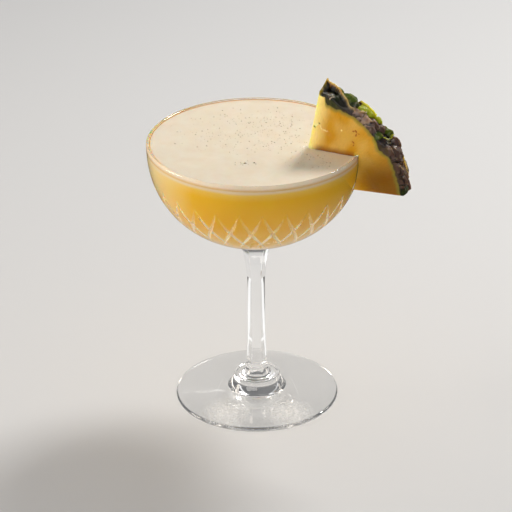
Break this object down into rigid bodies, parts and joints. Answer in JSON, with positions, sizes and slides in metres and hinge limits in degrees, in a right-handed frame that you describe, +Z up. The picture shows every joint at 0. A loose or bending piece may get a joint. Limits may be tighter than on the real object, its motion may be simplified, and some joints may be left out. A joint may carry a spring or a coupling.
{
  "type": "cocktail in a cut coupe glass",
  "caption": "Cloudy yellow cocktail with a layer of pale foam in a stemmed coupe glass cut with crossing slanted lines, with a wedge of pineapple slit onto its rim.",
  "frame": {"origin": "centre of the flat underside of the glass's foot", "axes": "+Z up along the stem, -Y towards the front of the picture, +X to its right, where the wedge of fruit sits on the rim"},
  "size_m": [0.1189, 0.098, 0.1613],
  "materials": {
    "glass": "clear, polished, with cut lines",
    "drink": "cloudy liquid",
    "foam": "fine pale foam with pin-hole bubbles",
    "pineapple": "moist fruit flesh under a rough green and grey-brown rind"
  },
  "bodies": {
    "root": {"glass": "glass", "drink": "drink", "foam": "foam", "pineapple_wedge": "pineapple"}
  },
  "joints": []
}
